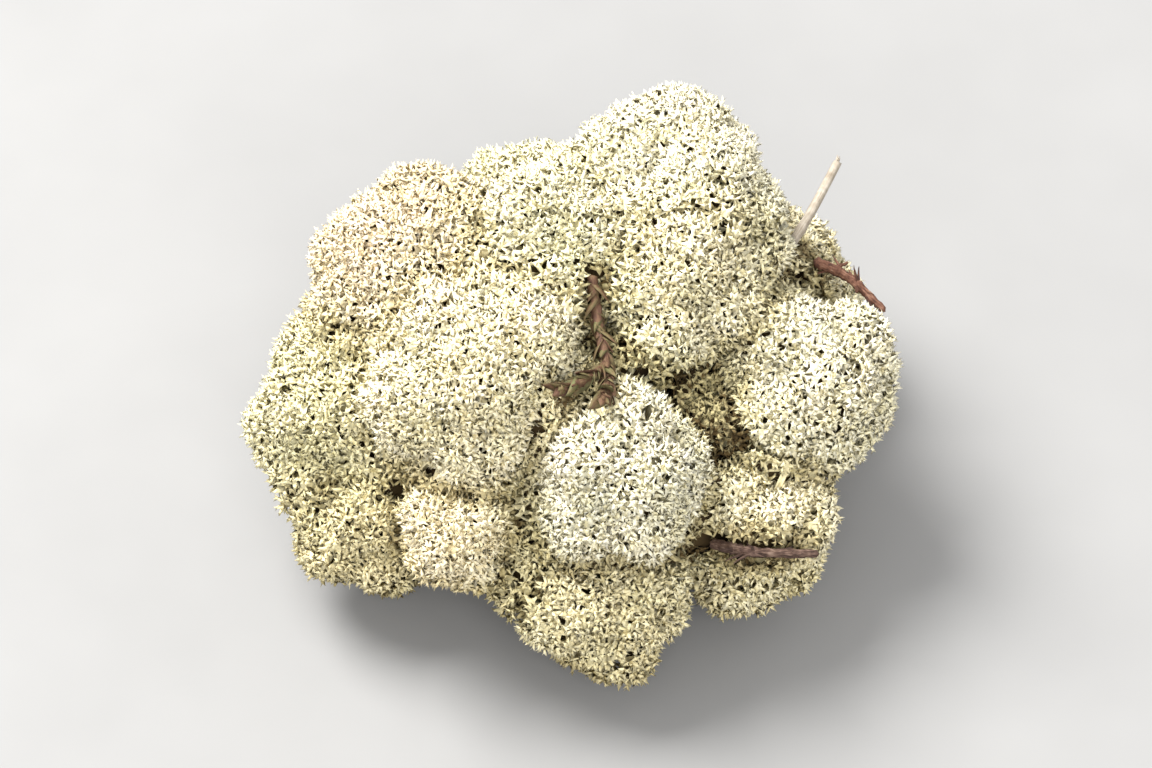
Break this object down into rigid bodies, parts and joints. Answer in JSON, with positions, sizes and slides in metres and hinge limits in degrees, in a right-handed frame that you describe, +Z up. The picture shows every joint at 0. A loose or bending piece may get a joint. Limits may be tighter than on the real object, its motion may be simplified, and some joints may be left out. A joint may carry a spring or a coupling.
{
  "type": "reindeer moss clump",
  "caption": "Rounded cushion of pale lichen: cauliflower-like heads on branching stems that stand in a flat mat of dead branches, with bits of plant litter between the heads.",
  "frame": {"origin": "centre of the flat spot under the mat of dead branches, which the clump rests on", "axes": "+Z up; +X along the clump's longest side; +Y to its back, away from the viewer"},
  "size_m": [0.0678, 0.0632, 0.0399],
  "materials": {
    "head_crown_left": "matt",
    "head_crown_right": "matt",
    "head_top_back": "matt",
    "head_top_front": "matt",
    "head_top_right": "matt",
    "head_front": "matt",
    "head_left": "matt",
    "head_right": "matt",
    "head_knob_front_left": "matt",
    "head_back": "matt",
    "head_back_left": "matt",
    "head_back_right": "matt",
    "head_low_left": "matt",
    "head_low_front": "matt",
    "head_low_right": "matt",
    "head_hollow": "matt",
    "head_low_middle": "matt",
    "head_cleft": "matt",
    "old_branch_mat": "matt",
    "litter_heather_sprig": "matt",
    "litter_straw": "matt",
    "litter_bent_twig": "matt",
    "litter_low_twig": "matt"
  },
  "bodies": {
    "root": {"head_crown_left": "head_crown_left", "head_crown_right": "head_crown_right", "head_top_back": "head_top_back", "head_top_front": "head_top_front", "head_top_right": "head_top_right", "head_front": "head_front", "head_left": "head_left", "head_right": "head_right", "head_knob_front_left": "head_knob_front_left", "head_back": "head_back", "head_back_left": "head_back_left", "head_back_right": "head_back_right", "head_low_left": "head_low_left", "head_low_front": "head_low_front", "head_low_right": "head_low_right", "head_hollow": "head_hollow", "head_low_middle": "head_low_middle", "head_cleft": "head_cleft", "old_branch_mat": "old_branch_mat", "litter_heather_sprig": "litter_heather_sprig", "litter_straw": "litter_straw", "litter_bent_twig": "litter_bent_twig", "litter_low_twig": "litter_low_twig"}
  },
  "joints": []
}
